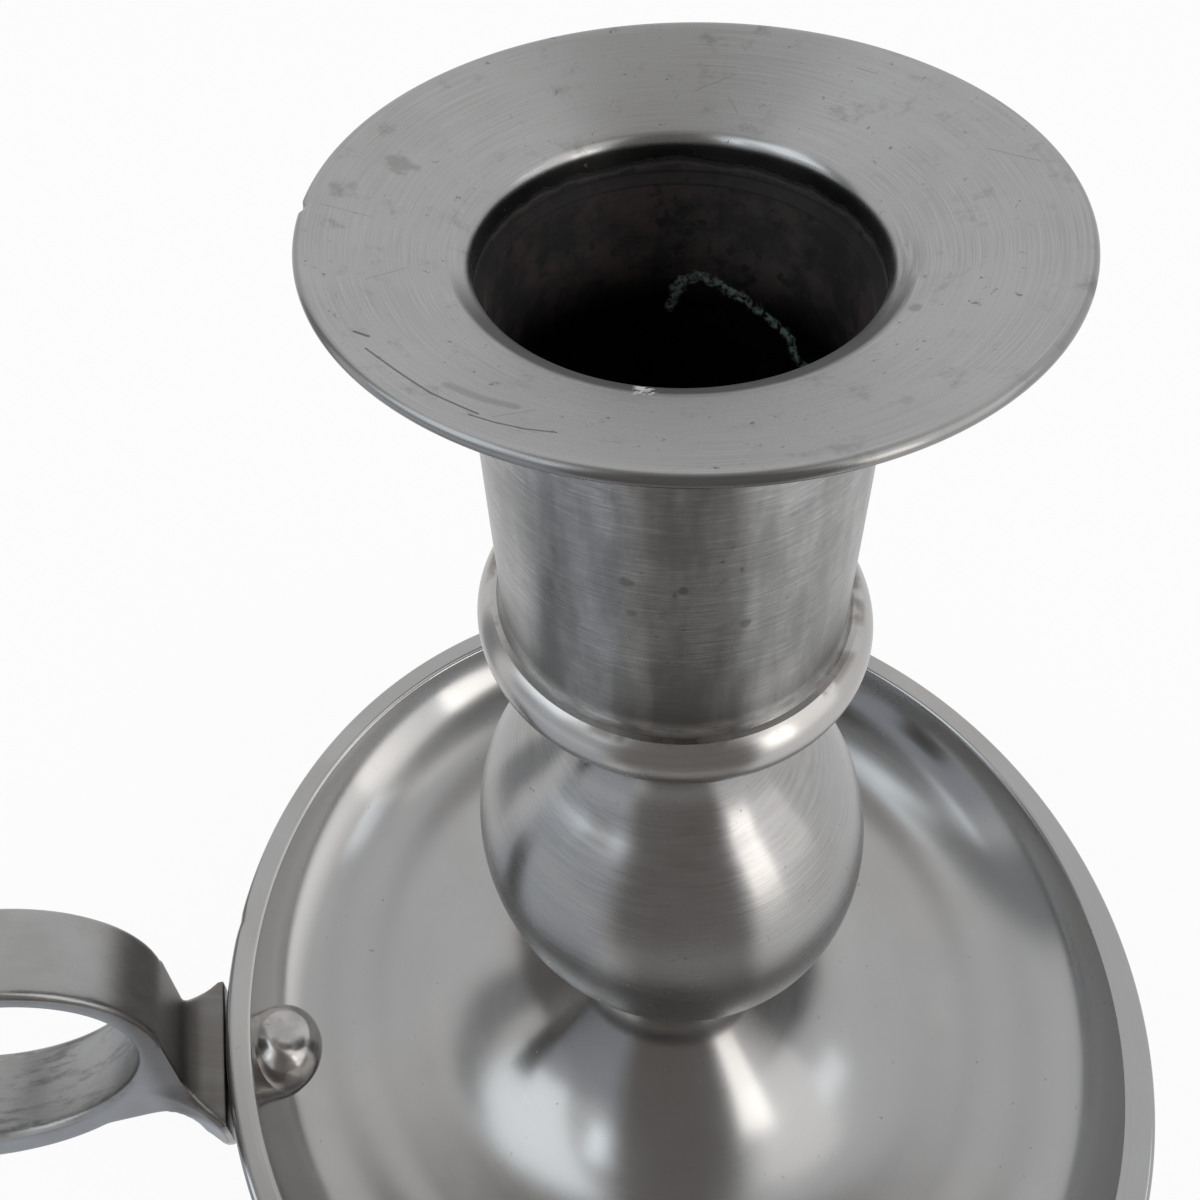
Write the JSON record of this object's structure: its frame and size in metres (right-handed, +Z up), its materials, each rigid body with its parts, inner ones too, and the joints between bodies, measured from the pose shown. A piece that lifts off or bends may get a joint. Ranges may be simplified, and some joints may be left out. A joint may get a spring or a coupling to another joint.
{
  "type": "chamberstick",
  "caption": "Low chamberstick: round dished pan with a raised trumpet foot, turned ball knop, flanged candle socket and an upright finger ring riveted to the rim.",
  "frame": {"origin": "centre of the standing ring under the pan, on the stem's axis, at table height", "axes": "+Z up along the stem towards the candle; the finger ring points along -X; the part mirrors itself across the XZ plane"},
  "size_m": [0.1205, 0.0866, 0.1],
  "materials": {
    "pan_metal": "turned silver-grey alloy, satin with dull patches",
    "knop_metal": "turned and polished silver-grey alloy, tarnished in its creases",
    "socket_metal": "brushed silver-grey alloy, dark rough casting in the bore",
    "handle_metal": "cast silver-grey alloy, filed flat sides, rough inner face",
    "rivet_metal": "hammered and worn",
    "rod_steel": "plain drawn rod, dulled"
  },
  "bodies": {
    "root": {"pan": "pan_metal", "stem_knop": "knop_metal", "candle_socket": "socket_metal", "tie_rod": "rod_steel", "rod_nut": "rod_steel", "rod_washer": "rod_steel", "handle": "handle_metal", "handle_rivet": "rivet_metal"}
  },
  "joints": []
}
